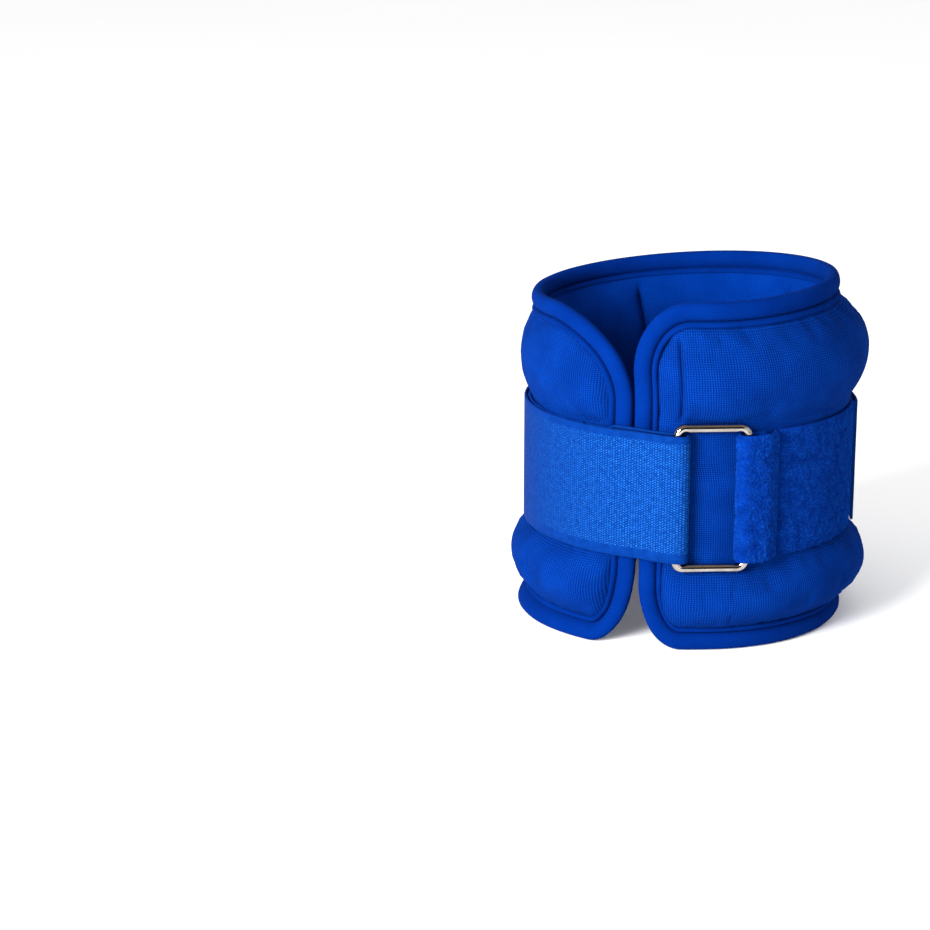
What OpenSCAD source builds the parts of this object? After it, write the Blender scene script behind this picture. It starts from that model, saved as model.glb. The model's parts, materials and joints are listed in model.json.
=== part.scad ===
// Ankle cuff weight: a neoprene cuff with five bags of iron sand, closed by a
// hook strap that runs through a rectangle ring and back round the cuff.
// Origin: middle of the cuff's lower edge plane, +Z up, the opening faces -Y.
// Angles round the cuff are measured from the opening (-Y), positive to +X.

/* [Cuff] */
// Height of the cuff from lower rim to upper rim
cuff_h = 134; // [124:1:150]
// Radius of the lining at its narrowest, where the ankle is
bore_r = 50; // [48:1:51]
// Inner radius of the rolled rim
rim_in = 57; // [56:0.5:57.5]
// Outer radius of the rolled rim
rim_out = 62.5; // [62:0.5:63]
// Radius of the valley that the tape lies in
valley_r = 63; // [63:0.5:65]
// How far a padded lobe stands out from the valley
lobe_bulge = 6.5; // [3:0.5:8]
// Thickness of the cover and of the lining
skin_t = 1.5; // [1:0.1:1.8]
// Width of the folded edge binding
binding_w = 9; // [6:1:12]
// Width of the slit between the two front edges
slit_w = 1.6; // [1:0.2:4]

/* [Hook strap and ring] */
// Width of the hook strap and of the loop tape
strap_w = 50; // [48:1:51]
// Thickness of the hook strap
strap_t = 1.3; // [1:0.1:1.3]
// Thickness of the loop tape
tape_t = 1.5; // [1.2:0.1:1.5]
// Height of the strap's middle above the lower rim
strap_mid_z = 62; // [60:1:66]
// Diameter of the ring's wire
wire_d = 3.6; // [3:0.1:3.6]
// Inside height of the ring
ring_inside_h = 51.4; // [51.2:0.1:53]
// Bend radius of the ring's corners, to the middle of the wire
ring_bend_r = 3; // [2.5:0.5:3.5]

/* [Weights] */
// Wall of a bag
bag_t = 0.8; // [0.5:0.1:1]

/* [Hidden] */
$fn = 96;

// corner radii of the two front edges
corner_left_top = 38;
corner_right_top = 25;
corner_bottom = 24;

// the valley that the tape and the strap lie in
strap_z0 = strap_mid_z - strap_w / 2;
strap_z1 = strap_mid_z + strap_w / 2;
valley_edge = 5.5;
valley_z0 = strap_z0 - valley_edge;
valley_z1 = strap_z1 + valley_edge;
rim_roll = 6;
rim_chamfer = 1.5;
bore_z0 = 32;
bore_z1 = cuff_h - bore_z0;
profile_step = 3;

// the front ends thin down to the binding between these angles
end_angle = 9;
taper_angle = 25;
taper_over = 1;
far_r = valley_r + lobe_bulge + 10;

// layers of tape and strap, as radii
layer_gap = 0.3;
tape_in = valley_r + 0.1;
tape_mid = tape_in + tape_t / 2;
tape_out = tape_in + tape_t;
pass_one_mid = valley_r + 0.2 + strap_t / 2;
wrap_in = tape_out + layer_gap;
wrap_out = wrap_in + strap_t;
wrap_mid = (wrap_in + wrap_out) / 2;

// the ring's two bars, and the folds round them
bar_r = valley_r + 3.7;
bar_left = 14.7;
bar_right = 37.4;
fold_slack = 1.3;
fold_clear = 0.35;
strap_bend = wire_d / 2 + fold_clear + strap_t / 2;
tab_t = tape_t - 0.1;
tab_bend = wire_d / 2 + fold_clear + tab_t / 2;
ring_h = ring_inside_h + wire_d;

// stretches of the strap, as angles: hinge line, wraps, tail
hinge_angle = 10;
wrap_span = 43;
wrap_count = 5;
tail_angle = hinge_angle + wrap_span * wrap_count;
tail_span = 30;
strap_gap = 0.3;
root_end = 20;
root_t = 1;
tape_start = 54;
tape_end = 339.4;
tab_flat = 46;

// bags of sand
bag_edges = [12, 75, 139, 208, 277, 345.5];
bag_z0 = 12;
bag_z1 = cuff_h - 14;
bag_clear = 0.5;
bag_space = 2;

// stitches
thread_d = 0.8;
stitch_l = 3;
stitch_pitch = 5;
stitch_t = 0.3;

function ease(t) = t <= 0 ? 0 : t >= 1 ? 1 : t * t * (3 - 2 * t);
function at(r, a) = [r * sin(a), -r * cos(a)];
function span(z, z0, z1) = max(0, min(1, (z - z0) / (z1 - z0)));

// outer radius of the padding at height z: two lobes with the strap's valley between
function lobe(z, z0, z1) = lobe_bulge * sin(180 * span(z, z0, z1));
function r_out(z) = valley_r
  + (rim_out - valley_r) * (ease((rim_roll - z) / rim_roll) + ease((z - cuff_h + rim_roll) / rim_roll))
  + lobe(z, rim_roll, valley_z0) + lobe(z, valley_z1, cuff_h - rim_roll);

// inner radius: a true cylinder at the ankle that flares to both rims
function r_in(z) = bore_r
  + (rim_in - bore_r) * (ease((bore_z0 - z) / bore_z0) + ease((z - bore_z1) / bore_z0));

// section of the padding between two heights, thinned by t on every side
function levels(z0, z1) = concat([z0],
  [for (z = [profile_step : profile_step : cuff_h - 1]) if (z > z0 + 1 && z < z1 - 1) z], [z1]);
function section(t, z0, z1) = concat(
  [for (z = levels(z0, z1)) [r_out(z) - t, z]],
  [for (z = levels(cuff_h - z1, cuff_h - z0)) [r_in(cuff_h - z) + t, cuff_h - z]]);

module padding(t) {
  difference() {
    rotate_extrude() polygon(section(t, t, cuff_h - t));
    end_taper(t);
  }
}

// what the thinning front ends take away, outside and inside
module end_taper(t) {
  angles = [for (a = [-taper_angle : 2 : taper_angle]) a];
  thin = [for (a = angles) ease((abs(a) - end_angle) / (taper_angle - end_angle))];
  outside = [for (i = [0 : len(angles) - 1])
    at(rim_out - t + (valley_r + lobe_bulge + taper_over - rim_out) * thin[i], angles[i])];
  inside = [for (i = [0 : len(angles) - 1])
    at(rim_in + t - (rim_in - bore_r + taper_over) * thin[i], angles[i])];
  translate([0, 0, -1]) linear_extrude(cuff_h + 2) {
    polygon(concat(outside, [at(far_r, taper_angle), at(far_r, -taper_angle)]));
    polygon(concat(inside, [[0, 0]]));
  }
}

// one rounded corner's waste, drawn with its corner at the origin, below and left of it
module corner_waste(r, inset) {
  difference() {
    translate([-r, -r]) square(r + 1);
    translate([-r, -r]) circle(r - inset);
  }
}

// the opening between the two front edges, widened by inset on every side
module front_opening(inset) {
  half = slit_w / 2 + inset;
  rotate([90, 0, 0]) linear_extrude(far_r) {
    translate([-half, -1]) square([2 * half, cuff_h + 2]);
    translate([-slit_w / 2, cuff_h]) corner_waste(corner_left_top, inset);
    translate([slit_w / 2, cuff_h]) mirror([1, 0]) corner_waste(corner_right_top, inset);
    translate([slit_w / 2, 0]) mirror([1, 0]) mirror([0, 1]) corner_waste(corner_bottom, inset);
    translate([-slit_w / 2, 0]) mirror([0, 1]) corner_waste(corner_bottom, inset);
  }
}

// everything inside the binding's inner edge
module panel_zone() {
  difference() {
    translate([0, 0, binding_w]) cylinder(r = far_r, h = cuff_h - 2 * binding_w);
    front_opening(binding_w);
  }
}

module skins() {
  intersection() {
    difference() {
      padding(0);
      padding(skin_t);
    }
    panel_zone();
  }
}

module core(extra) {
  translate([0, 0, -extra]) cylinder(r = (rim_in + rim_out) / 2, h = cuff_h + 2 * extra);
}

// the cover's panel, taken between two heights: an upper lobe, the strap's valley, a lower lobe
module cover(z0, z1) {
  color("royalblue") difference() {
    intersection() {
      skins();
      translate([0, 0, z0]) cylinder(r = far_r, h = z1 - z0);
    }
    core(1);
  }
}

module inner_lining() {
  color("mediumblue") intersection() {
    skins();
    core(0);
  }
}

module edge_binding() {
  color("navy") difference() {
    rotate_extrude() polygon(rim_section());
    end_taper(0);
    front_opening(0);
    panel_zone();
  }
}

// the padding's section with its four rim corners taken off
function rim_section() = [for (p = section(0, 0, cuff_h))
  let (near = p[1] < 1 || p[1] > cuff_h - 1)
  [near ? (p[0] > (rim_in + rim_out) / 2 ? p[0] - rim_chamfer : p[0] + rim_chamfer) : p[0], p[1]]];

module binding_thread() {
  color("darkblue") for (z = [binding_w + 1, cuff_h - binding_w - 1])
    rotate([0, 0, -90 + 50]) rotate_extrude(angle = 260)
      translate([r_out(z) + thread_d, z]) circle(d = thread_d, $fn = 16);
}

// a slice of the padding that starts at angle a and spans da, going left round the cuff
module sector(t, z0, z1, a, da) {
  rotate([0, 0, -90 - a - da]) rotate_extrude(angle = da) polygon(section(t, z0, z1));
}

// the room of bag i between the skins, made smaller by t all round
module bag_room(i, t) {
  arc = t / bore_r * 180 / PI;
  from = bag_edges[i - 1] + bag_space / 2 + arc;
  to = bag_edges[i] - bag_space / 2 - arc;
  depth = skin_t + bag_clear + t;
  difference() {
    sector(depth, bag_z0 + t, bag_z1 - t, from, to - from);
    end_taper(depth);
    front_opening(binding_w + depth);
  }
}

module weight_pouch(i) {
  color("dimgray") difference() {
    bag_room(i, 0);
    bag_room(i, bag_t);
  }
}

module iron_sand(i) {
  color("darkslategray") bag_room(i, bag_t + layer_gap);
}

// ribbon: a band of thickness t along a line of points, standing on its edge
function unit(v) = v / norm(v);
function side(p, i) = let (d = unit(p[min(i + 1, len(p) - 1)] - p[max(i - 1, 0)])) [d[1], -d[0]];
module ribbon(line, t) {
  last = len(line) - 1;
  edge_a = [for (i = [0 : last]) line[i] + side(line, i) * t / 2];
  edge_b = [for (i = [last : -1 : 0]) line[i] - side(line, i) * t / 2];
  translate([0, 0, strap_z0]) linear_extrude(strap_w) polygon(concat(edge_a, edge_b));
}

// half turn round a bar that stands at angle a: way is 1 to open left, -1 to open right
function fold(a, r, bend, way) = [for (q = [0 : 15 : 180])
  at(r, a) + bend * (-cos(q) * at(1, a) + way * sin(q) * [cos(a), sin(a)])];

module band(r0, r1, a, da) {
  rotate([0, 0, -90 - a - da]) rotate_extrude(angle = da)
    translate([r0, strap_z0]) square([r1 - r0, strap_w]);
}

// the tape lies round the cuff; its front end folds round the ring's right bar
module loop_tape() {
  rise = bar_r + tab_bend - tape_mid - tape_t;
  over = [for (a = [tape_start + 1 : -1 : bar_right + 1])
    at(tape_mid + (tape_t + 0.1) * ease((tape_start - a) / 3)
      + (rise - 0.1) * ease((tab_flat - a) / (tab_flat - bar_right)), a)];
  turn = fold(bar_right, bar_r, tab_bend, -1);
  under = [for (a = [bar_right + 1 : 2 : tape_start - 4]) at(bar_r - tab_bend, a)];
  color("blue") union() {
    band(tape_in, tape_out, 360 - tape_end, tape_end - tape_start);
    ribbon(concat(over, [for (i = [len(turn) - 1 : -1 : 0]) turn[i]], under), tab_t);
  }
}

// upright stitches in a row at angle a, on a face of radius r
module stitch_row(r, a) {
  for (z = [strap_z0 + stitch_pitch : stitch_pitch : strap_z1 - stitch_pitch])
    rotate([0, 0, a - 90]) translate([r, -thread_d / 2, z - stitch_l / 2])
      cube([stitch_t, thread_d, stitch_l]);
}

module tab_stitching() {
  color("midnightblue") for (a = [tape_start + 2, tape_start + 4]) stitch_row(tape_out, a);
}

module strap_root() {
  color("cornflowerblue") band(valley_r + 0.1, valley_r + 0.1 + root_t, hinge_angle + 1, root_end - hinge_angle - 1);
}

module anchor_stitching() {
  color("midnightblue") for (a = [13, 15.5, 18]) stitch_row(valley_r + 0.1 + root_t, -a);
}

// the wire ring lies across the front, hung on its right bar
module rectangle_ring() {
  hung = at(bar_r, bar_right);
  along = at(bar_r, bar_left) - hung;
  w = norm(along);
  straight_w = w - 2 * ring_bend_r;
  straight_h = ring_h - 2 * ring_bend_r;
  color("silver") translate([hung[0], hung[1], strap_mid_z])
    rotate([0, 0, atan2(along[1], along[0])]) translate([w / 2, 0, 0]) rotate([90, 0, 0])
      for (k = [0, 1]) rotate([0, 0, 180 * k]) {
        translate([w / 2, 0, 0]) rotate([90, 0, 0]) cylinder(d = wire_d, h = straight_h, center = true);
        translate([0, ring_h / 2, 0]) rotate([0, 90, 0]) cylinder(d = wire_d, h = straight_w, center = true);
        for (m = [0, 1]) mirror([0, m, 0])
          translate([w / 2 - ring_bend_r, ring_h / 2 - ring_bend_r, 0])
            rotate_extrude(angle = 90) translate([ring_bend_r, 0]) circle(d = wire_d, $fn = 32);
      }
}

// under the ring's left bar, round it, and back over itself to the hinge line
module strap_front() {
  slack = fold_slack / bar_r * 180 / PI;
  turn_at = bar_left + slack;
  top = bar_r + strap_bend;
  low = bar_r - strap_bend;
  first = [for (a = [1 - hinge_angle : 2 : turn_at - 1])
    at(pass_one_mid + (low - pass_one_mid) * ease(a / turn_at), a)];
  back = [for (a = [turn_at - 1 : -2 : 2 - hinge_angle])
    at(wrap_mid + (top - wrap_mid) * ease(a / turn_at), a)];
  color("lightskyblue") ribbon(concat(first, fold(turn_at, bar_r, strap_bend, 1), back,
    [at(wrap_mid, 0.3 - hinge_angle)]), strap_t);
}

module strap_wrap(i) {
  color("lightskyblue") band(wrap_in, wrap_out, hinge_angle + wrap_span * (i - 1) + strap_gap / 2,
    wrap_span - strap_gap);
}

module strap_tail() {
  color("skyblue") band(wrap_in, wrap_out, tail_angle + strap_gap / 2, tail_span - strap_gap / 2);
}

cover(valley_z1, cuff_h);  // cover_upper
cover(valley_z0, valley_z1);  // cover_middle
cover(0, valley_z0);  // cover_lower
inner_lining();
edge_binding();
binding_thread();
weight_pouch(1);  // weight_pouch_1
weight_pouch(2);  // weight_pouch_2
weight_pouch(3);  // weight_pouch_3
weight_pouch(4);  // weight_pouch_4
weight_pouch(5);  // weight_pouch_5
iron_sand(1);  // iron_sand_1
iron_sand(2);  // iron_sand_2
iron_sand(3);  // iron_sand_3
iron_sand(4);  // iron_sand_4
iron_sand(5);  // iron_sand_5
loop_tape();
tab_stitching();
strap_root();
anchor_stitching();
rectangle_ring();
strap_front();
strap_wrap(1);  // strap_wrap_1
strap_wrap(2);  // strap_wrap_2
strap_wrap(3);  // strap_wrap_3
strap_wrap(4);  // strap_wrap_4
strap_wrap(5);  // strap_wrap_5
strap_tail();
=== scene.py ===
# %% [markdown]
# # An ankle cuff weight, sewn and stuffed in Blender
# The real thing is a padded sleeve of knit-faced neoprene with five bags of iron sand inside. It is open
# at the front and closed by a wide hook strap, which runs through a wire ring and doubles back round the
# cuff. The hard facts, such as sizes, hinges and the ring, come from the CAD frame. Everything soft is
# made here, piece by piece, in the order in which a maker would sew it.

# %% Load the frame
import json
import math

import bpy
import numpy as np
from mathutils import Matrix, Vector


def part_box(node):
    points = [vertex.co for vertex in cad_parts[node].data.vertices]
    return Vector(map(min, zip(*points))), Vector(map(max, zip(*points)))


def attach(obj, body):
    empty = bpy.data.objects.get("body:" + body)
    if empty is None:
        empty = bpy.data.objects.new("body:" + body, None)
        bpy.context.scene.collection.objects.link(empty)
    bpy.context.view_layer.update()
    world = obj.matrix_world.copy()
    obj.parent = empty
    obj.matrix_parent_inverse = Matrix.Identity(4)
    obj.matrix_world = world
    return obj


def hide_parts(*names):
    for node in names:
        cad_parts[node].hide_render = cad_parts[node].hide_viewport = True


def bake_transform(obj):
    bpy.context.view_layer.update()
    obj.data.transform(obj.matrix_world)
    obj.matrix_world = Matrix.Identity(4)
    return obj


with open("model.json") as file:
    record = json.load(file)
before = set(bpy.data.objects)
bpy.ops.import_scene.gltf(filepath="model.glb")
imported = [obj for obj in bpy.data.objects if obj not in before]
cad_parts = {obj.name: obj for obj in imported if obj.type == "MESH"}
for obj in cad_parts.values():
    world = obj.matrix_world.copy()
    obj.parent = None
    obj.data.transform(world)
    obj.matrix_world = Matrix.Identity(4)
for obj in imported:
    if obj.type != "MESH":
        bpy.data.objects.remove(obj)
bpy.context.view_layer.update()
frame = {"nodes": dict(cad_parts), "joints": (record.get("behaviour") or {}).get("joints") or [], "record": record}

MM = 0.001
joints = {joint["name"]: joint for joint in frame["joints"]}

# %% [markdown]
# ## Where things are
# A cuff is a flat pattern rolled up, so it is easiest to think in cloth terms: how far along the cloth,
# how high up it, and how far out from its middle. One function rolls such a place up into space. Angles
# are counted from the opening at the front, positive to the right, because that is how the hinges lie.

# %% Sizes read from the frame
cuff_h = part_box("edge_binding")[1].z / MM
strap_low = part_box("strap_front")[0].z / MM
strap_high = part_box("strap_front")[1].z / MM
strap_mid = (strap_low + strap_high) / 2
strap_w = strap_high - strap_low


def joint_place(name):
    """Radius in mm and angle in degrees, from the opening, of a hinge that stands upright."""
    x, y = [v / MM for v in joints[name]["pos_m"][:2]]
    return math.hypot(x, y), math.degrees(math.atan2(x, -y))


bar_r, bar_right = joint_place("ring_swing")
wrap_out, first_hinge = joint_place("strap_peel")
wrap_step = joint_place("unroll_2")[1] - first_hinge
hinges = [first_hinge + wrap_step * k for k in range(6)]
bore_r = [m for m in frame["record"]["mounts"] if m["name"] == "ankle_clamp"][0]["dims"]["r_mm"]
print("cuff", cuff_h, "mm tall; strap", strap_low, "to", strap_high, "mm; hinges at", np.round(hinges, 1))

# %% Sizes of the cloth
# All in mm. The cloth's middle rolls up at mid_r, and heights out from it carry _h in their names.
skin_t = 1.5
strap_t = 1.3
tape_t = 1.5
layer_gap = 0.3
mid_r = 59.75
gap_w = 1.6
cloth_len = 2 * math.pi * mid_r - gap_w
seam_inset = 7.7
seam_h = 1.0
under_lip = 1.4
valley_r = wrap_out - strap_t - layer_gap - tape_t - 0.1
valley_h = valley_r - mid_r
lobe_h = {"upper": 7.2, "lower": 9.9}
rise_right, lift_right = 0.35, 3.5
sag_low = 1.2
valley_low, valley_high = strap_low - 1.5, strap_high + 1.5
ring_room = 2.5
# Each corner's sweep, as (along the cloth, up it).
corners = {"left_top": (42, 38), "right_top": (24, 27), "right_low": (17, 26), "left_low": (17, 35)}
print("cloth is", round(cloth_len, 1), "x", cuff_h, "mm when laid flat")


# %% Rolling the flat pattern up
def ease(t):
    """0 below 0, 1 above 1, and a smooth step between."""
    t = np.clip(t, 0.0, 1.0)
    return t * t * (3.0 - 2.0 * t)


def around(angle, radius, z):
    """Points in mm at an angle in degrees from the opening."""
    a = np.radians(angle)
    return np.stack([radius * np.sin(a), -radius * np.cos(a), z + 0 * a], -1)


def angle_at(along):
    """The angle of a place that lies so many mm along the cloth from the left front edge."""
    return -np.degrees((gap_w / 2 + along) / mid_r)


def along_at(angle):
    """The opposite: how far along the cloth a given angle is."""
    return -np.radians(angle) * mid_r - gap_w / 2


# Where the rim leans and the foot spreads: angles in degrees from the opening, lengths in mm.
lean_toward = 108.0
lean_up = 4.3
lean_shift = 3.0
lean_from = strap_high + 8
rim_draw = 1.8
foot_toward = -62.0
foot_spread = 6.4
foot_from = 15.0
twist_left, twist_right = 2.0, 2.6
twist_from, twist_over = 50.0, 35.0
flap_up = 2.2
flap_angle, flap_width = 12.0, 22.0


def settle(points):
    """A soft cuff never stands true: its upper rim leans over and its foot spreads on one side."""
    angle = np.degrees(np.arctan2(points[..., 0], -points[..., 1]))
    share = ease((points[..., 2] - lean_from) / (cuff_h - lean_from))
    flap = flap_up * np.exp(-(((angle - flap_angle) / flap_width) ** 2))
    rise = (lean_up * np.cos(np.radians(angle - lean_toward)) + flap) * share
    facing_foot = np.clip(np.cos(np.radians(angle - foot_toward)), 0, 1)
    foot = facing_foot**1.5 * ease(1 - points[..., 2] / foot_from)
    radius = np.linalg.norm(points[..., :2], axis=-1)
    grow = 1 + (foot_spread * foot - rim_draw * share) / radius
    away = np.array([math.sin(math.radians(lean_toward)), -math.cos(math.radians(lean_toward))])
    moved = points.copy()
    moved[..., 2] += rise
    moved[..., :2] *= grow[..., None]
    moved[..., :2] -= lean_shift * share[..., None] * away
    return moved


def place(along, z, out):
    """A place on the cloth, rolled up: along and up it, and out from the middle of its thickness."""
    twist = twist_left + (twist_right - twist_left) * along / cloth_len
    twist = twist * ease((z - twist_from) / twist_over)
    return settle(around(angle_at(along) - twist, mid_r + out, z))


# %% [markdown]
# ## The outline
# All four corners of the front are cut round, each with its own sweep, and the binding follows them. The
# outline is kept as a family of nested curves: at any inset the corners share their centres, so the cover,
# the lining and the binding meet exactly along the same seam.

# %% Outline of the flat pattern
def outline(inset, spacing=1.5):
    """The outline as (along, up) points, so many mm in from the cut edge."""
    points = []

    def straight(start, end):
        count = int(abs(end[0] - start[0] + end[1] - start[1]) / spacing)
        for k in range(count):
            points.append([start[i] + (end[i] - start[i]) * k / count for i in (0, 1)])

    def corner(centre, radii, start_angle):
        count = int(sum(radii) * math.pi / 4 / spacing) + 2
        for k in range(count):
            a = math.radians(start_angle + 90 * k / count)
            points.append([centre[i] + (radii[i] - inset) * f(a) for i, f in ((0, math.cos), (1, math.sin))])

    low_l, low_r, top_r, top_l = [corners[k] for k in ("left_low", "right_low", "right_top", "left_top")]
    straight((low_l[0], inset), (cloth_len - low_r[0], inset))
    corner((cloth_len - low_r[0], low_r[1]), low_r, -90)
    straight((cloth_len - inset, low_r[1]), (cloth_len - inset, cuff_h - top_r[1]))
    corner((cloth_len - top_r[0], cuff_h - top_r[1]), top_r, 0)
    straight((cloth_len - top_r[0], cuff_h - inset), (top_l[0], cuff_h - inset))
    corner((top_l[0], cuff_h - top_l[1]), top_l, 90)
    straight((inset, cuff_h - top_l[1]), (inset, low_l[1]))
    corner((low_l[0], low_l[1]), low_l, 180)
    return np.array(points)


def edge_height(along, inset, left, right):
    """How far a corner cuts into a rim at this place along the cloth."""
    cut = np.full_like(along, float(inset))
    for radii, distance in ((left, along), (right, cloth_len - along)):
        share = np.clip((radii[0] - distance) / (radii[0] - inset), 0.0, 1.0)
        cut += np.where(share > 0, (radii[1] - inset) * (1 - np.sqrt(1 - share**2)), 0.0)
    return cut


def panel_top(along):
    """Height of the seam below the upper rim."""
    return cuff_h - edge_height(along, seam_inset, corners["left_top"], corners["right_top"])


def panel_bottom(along):
    """Height of the seam above the lower rim."""
    return edge_height(along, seam_inset, corners["left_low"], corners["right_low"])


def signed_angle(along):
    """The angle of a place on the cloth, from -180 to 180 degrees."""
    return (angle_at(along) + 180) % 360 - 180


def seam_distance(along, up):
    """How far a place on a panel is from the nearest seam."""
    return np.minimum.reduce([
        panel_top(along) - up,
        up - panel_bottom(along),
        np.minimum(along, cloth_len - along) - seam_inset,
    ])


edge_length = np.linalg.norm(np.diff(outline(0), axis=0), axis=1).sum()
print("the bound edge is", round(edge_length), "mm long, in", len(outline(0)), "steps")


# %% [markdown]
# ## Turning numbers into cloth
# Nearly every piece here is a grid: rows one way, columns the other, wrapped round where the piece closes
# on itself. Writing the grid maker once keeps the later cells short, and it also lays the UV map in real
# millimetres, so that every knit and weave comes out at its true pitch.

# %% A maker of grids
def grid_piece(name, points, uv, close_rows=False, close_cols=False, caps=False, smooth_below=50):
    """A mesh from rows x columns of points in mm. The UV grid has one more line where the mesh closes."""
    rows, cols = points.shape[:2]
    row_count = rows if close_rows else rows - 1
    col_count = cols if close_cols else cols - 1
    row, col = np.meshgrid(np.arange(row_count), np.arange(col_count), indexing="ij")
    row = np.stack([row, row + 1, row + 1, row], -1).reshape(-1, 4)
    col = np.stack([col, col, col + 1, col + 1], -1).reshape(-1, 4)
    faces = ((row % rows) * cols + col % cols).tolist()
    corner_uv = uv[row, col].reshape(-1, 2)
    if caps:
        for line, turn in ((0, 1), (rows - 1, -1)):
            faces.append([line * cols + k for k in range(cols)][::turn])
            corner_uv = np.concatenate([corner_uv, uv[line, :cols][::turn]])
    mesh = bpy.data.meshes.new(name)
    mesh.from_pydata((points.reshape(-1, 3) * MM).tolist(), [], faces)
    layer = mesh.uv_layers.new(name="cloth_mm")
    layer.data.foreach_set("uv", corner_uv.astype(np.float32).ravel())
    piece = bpy.data.objects.new(name, mesh)
    bpy.context.scene.collection.objects.link(piece)
    if close_cols:
        face_outward(mesh)
    mesh.shade_smooth()
    mesh.set_sharp_from_angle(angle=math.radians(smooth_below))
    return piece


def face_outward(mesh):
    """Turns all faces of a closed mesh outward: its signed volume says which way they look."""
    mesh.calc_loop_triangles()
    co = np.zeros(len(mesh.vertices) * 3)
    mesh.vertices.foreach_get("co", co)
    co = co.reshape(-1, 3)
    tri = np.zeros(len(mesh.loop_triangles) * 3, int)
    mesh.loop_triangles.foreach_get("vertices", tri)
    a, b, c = co[tri.reshape(-1, 3)].transpose(1, 0, 2)
    if np.einsum("ij,ij->i", a, np.cross(b, c)).sum() < 0:
        mesh.flip_normals()


def spans(*stretches):
    """Stretches of evenly spaced values, each given as (start, end, count), joined into one list."""
    parts = [np.linspace(start, end, count, endpoint=False) for start, end, count in stretches]
    return np.concatenate(parts + [[stretches[-1][1]]])


def thicken(piece, thickness, outward):
    """Gives an open sheet its real thickness."""
    solid = piece.modifiers.new("thickness", "SOLIDIFY")
    solid.thickness = thickness * MM
    solid.offset = 1 if outward else -1
    return piece


def apply_all(piece):
    """Applies what is on a piece, so that the plain mesh is what is kept."""
    graph = bpy.context.evaluated_depsgraph_get()
    mesh = bpy.data.meshes.new_from_object(piece.evaluated_get(graph))
    piece.modifiers.clear()
    old = piece.data
    piece.data = mesh
    bpy.data.meshes.remove(old)
    return piece


print("grid maker ready")

# %% [markdown]
# ## Light, floor and camera
# The light comes first, because every finish is judged under it. A plain white surround gives soft light
# from all sides, one large lamp from the upper left gives the cloth its form, and a white floor takes the
# contact shadow. Two cards that show only in reflections give the ring something dark to mirror, or it
# would look like white plastic. The camera stands a metre away and a little above, with a long lens, and looks
# past the cuff's left side, so that the cuff sits to the right in the frame.

# %% Camera
# Angles in degrees, lengths in mm.
eye_azimuth = 18.0
eye_height = 14.8
eye_distance = 1000.0
look_left = 5.15
look_down = 0.55
lens_mm, sensor_mm = 95.7, 36
look_height = 65.0
cuff_centre = Vector((0, 0, look_height * MM))

azimuth, elevation = math.radians(eye_azimuth), math.radians(eye_height)
right = Vector((math.cos(azimuth), math.sin(azimuth), 0))
back = Vector((math.sin(azimuth), -math.cos(azimuth), math.tan(elevation))).normalized()
camera = bpy.data.objects.new("camera", bpy.data.cameras.new("camera"))
bpy.context.scene.collection.objects.link(camera)
bpy.context.scene.camera = camera
camera.data.sensor_width = sensor_mm
camera.data.lens = lens_mm
camera.data.clip_start = 0.01
camera.data.clip_end = 100
camera.location = cuff_centre + back * eye_distance * MM
upward = right.cross(-back)
gaze = -back - right * math.tan(math.radians(look_left)) - upward * math.tan(math.radians(look_down))
camera.rotation_mode = "QUATERNION"
camera.rotation_quaternion = gaze.to_track_quat("-Z", "Y")
print("camera at", [round(v, 3) for v in camera.location])

# %% Light and floor
scene = bpy.context.scene
scene.view_settings.view_transform = "Standard"
world = bpy.data.worlds.new("surround")
scene.world = world
world.use_nodes = True
world.node_tree.nodes["Background"].inputs["Color"].default_value = (1, 1, 1, 1)
world.node_tree.nodes["Background"].inputs["Strength"].default_value = 1.0


def lamp(name, place_m, energy, size, aim=(0, 0, 0.06)):
    """A square soft lamp that looks at the cuff."""
    light = bpy.data.lights.new(name, "AREA")
    light.energy = energy
    light.size = size
    holder = bpy.data.objects.new(name, light)
    scene.collection.objects.link(holder)
    holder.location = place_m
    holder.rotation_mode = "QUATERNION"
    holder.rotation_quaternion = (Vector(aim) - Vector(place_m)).to_track_quat("-Z", "Y")
    return holder


lamp("key_lamp", (-0.38, -1.22, 0.46), 50.0, 0.55)
lamp("side_lamp", (1.15, -0.65, 0.4), 2.0, 0.6)

floor_mesh = bpy.data.meshes.new("floor")
floor_half = 4.0
floor_z = -0.0002
floor_corners = [(x * floor_half, y * floor_half, floor_z) for x, y in ((-1, -1), (1, -1), (1, 1), (-1, 1))]
floor_mesh.from_pydata(floor_corners, [], [(0, 1, 2, 3)])
floor = bpy.data.objects.new("floor", floor_mesh)
scene.collection.objects.link(floor)


def glossy_card(name, points, colour):
    """A card that shows only in reflections: no camera, shadow or soft light sees it."""
    mesh = bpy.data.meshes.new(name)
    count = len(points) // 2
    mesh.from_pydata(points, [], [(k, k + 1, count + k + 1, count + k) for k in range(count - 1)])
    card = bpy.data.objects.new(name, mesh)
    scene.collection.objects.link(card)
    card.visible_camera = False
    card.visible_diffuse = False
    card.visible_shadow = False
    card.visible_transmission = False
    paper = bpy.data.materials.new(name)
    paper.use_nodes = True
    shader = paper.node_tree.nodes["Principled BSDF"]
    shader.inputs["Base Color"].default_value = (0, 0, 0, 1)
    shader.inputs["Specular IOR Level"].default_value = 0.0
    shader.inputs["Emission Color"].default_value = (*colour, 1)
    shader.inputs["Emission Strength"].default_value = 1.0
    mesh.materials.append(paper)
    return card


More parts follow.
